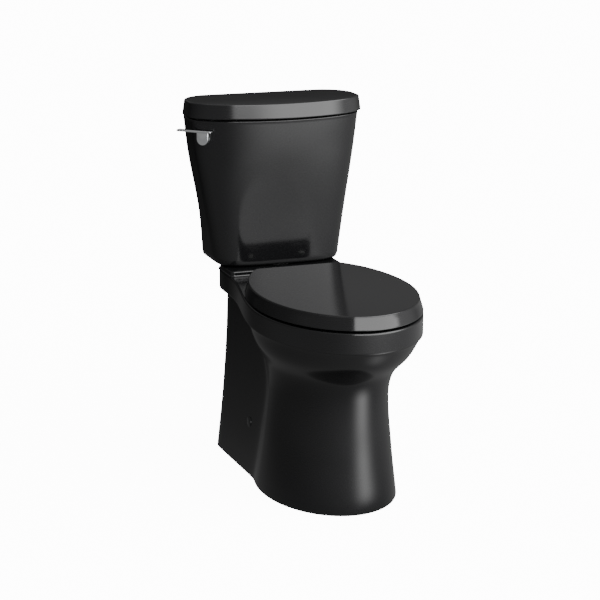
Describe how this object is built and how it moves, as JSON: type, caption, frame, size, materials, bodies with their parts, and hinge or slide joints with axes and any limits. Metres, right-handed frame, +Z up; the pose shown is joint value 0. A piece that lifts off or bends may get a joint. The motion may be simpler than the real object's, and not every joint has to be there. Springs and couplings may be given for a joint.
{
  "type": "close coupled toilet",
  "caption": "Two-piece floor toilet with a skirted bowl, bowed tank, hinged seat and lid, side trip lever, and working flush and fill valves.",
  "frame": {"origin": "middle of the waste outlet, at floor level", "axes": "+Z up, -Y toward the front of the bowl, +X to the right of a person who stands in front and faces it"},
  "size_m": [0.4326, 0.73, 0.8],
  "materials": {
    "glazed_china": "black glossy glaze",
    "seat_plastic": "black glossy moulding",
    "chrome": "polished",
    "brass": "plain",
    "rubber": "matt black",
    "hose": "satin black tube",
    "coloured_plastic": "satin blue",
    "white_plastic": "satin off-white"
  },
  "bodies": {
    "china": {"bowl_rim": "glazed_china", "bowl_skirt": "glazed_china", "bowl_basin": "glazed_china", "trapway": "glazed_china", "side_cap_left": "glazed_china", "side_cap_right": "glazed_china", "tank": "glazed_china", "lever_bushing": "chrome", "lever_nut": "white_plastic", "flush_valve_body": "white_plastic", "flush_valve_nut": "white_plastic", "tank_gasket": "rubber", "guide_cap": "coloured_plastic", "fill_valve_body": "white_plastic", "fill_valve_washer": "rubber", "fill_valve_nut": "white_plastic", "fill_valve_cap": "coloured_plastic", "refill_tube": "hose", "tank_bolt_left": "brass", "tank_bolt_washer_left": "rubber", "tank_bolt_nut_left": "brass", "tank_bolt_right": "brass", "tank_bolt_washer_right": "rubber", "tank_bolt_nut_right": "brass", "hinge_post_left": "seat_plastic", "hinge_pin_left": "brass", "seat_bolt_left": "white_plastic", "seat_nut_left": "white_plastic", "hinge_post_right": "seat_plastic", "hinge_pin_right": "brass", "seat_bolt_right": "white_plastic", "seat_nut_right": "white_plastic"},
    "tank_lid": {"tank_lid": "glazed_china"},
    "seat_ring": {"seat_ring": "seat_plastic", "ring_bumper_front_left": "rubber", "ring_bumper_front_right": "rubber", "ring_bumper_rear_left": "rubber", "ring_bumper_rear_right": "rubber"},
    "seat_lid": {"seat_lid": "seat_plastic", "lid_bumper_left": "rubber", "lid_bumper_right": "rubber"},
    "trip_lever": {"trip_lever": "chrome", "lever_spindle": "brass", "lever_arm": "brass"},
    "flush_canister": {"flush_canister": "coloured_plastic", "canister_seal": "rubber", "lift_chain": "chrome"},
    "float_cup": {"float_cup": "coloured_plastic", "float_rod": "brass"},
    "fill_valve_arm": {"fill_valve_arm": "white_plastic"}
  },
  "joints": [
    {"name": "tank_lid_lift", "type": "slide", "parent": "china", "child": "tank_lid", "axis": [0, 0, 1], "range_m": [0, 0.15]},
    {"name": "seat_ring_hinge", "type": "hinge", "parent": "china", "child": "seat_ring", "pos_m": [0, 0.033, 0.437], "axis": [-1, 0, 0], "range_deg": [0, 94]},
    {"name": "seat_lid_hinge", "type": "hinge", "parent": "seat_ring", "child": "seat_lid", "pos_m": [0, 0.033, 0.437], "axis": [1, 0, 0], "range_deg": [-95, 0]},
    {"name": "trip_lever_turn", "type": "hinge", "parent": "china", "child": "trip_lever", "pos_m": [-0.17371, 0.15019, 0.722], "axis": [-0.7071, -0.7071, 0], "range_deg": [0, 25]},
    {"name": "canister_lift", "type": "slide", "parent": "china", "child": "flush_canister", "axis": [0, 0, 1], "range_m": [0, 0.037]},
    {"name": "float_rise", "type": "slide", "parent": "china", "child": "float_cup", "axis": [0, 0, 1], "range_m": [0, 0.014]},
    {"name": "fill_arm_turn", "type": "hinge", "parent": "china", "child": "fill_valve_arm", "pos_m": [-0.1105, 0.238, 0.712], "axis": [0, -1, 0], "range_deg": [0, 23]}
  ],
  "couplings": [
    {"joint": "canister_lift", "follows": "trip_lever_turn", "m_per_rad": 0.083},
    {"joint": "fill_arm_turn", "follows": "float_rise", "rad_per_m": 28.571}
  ]
}
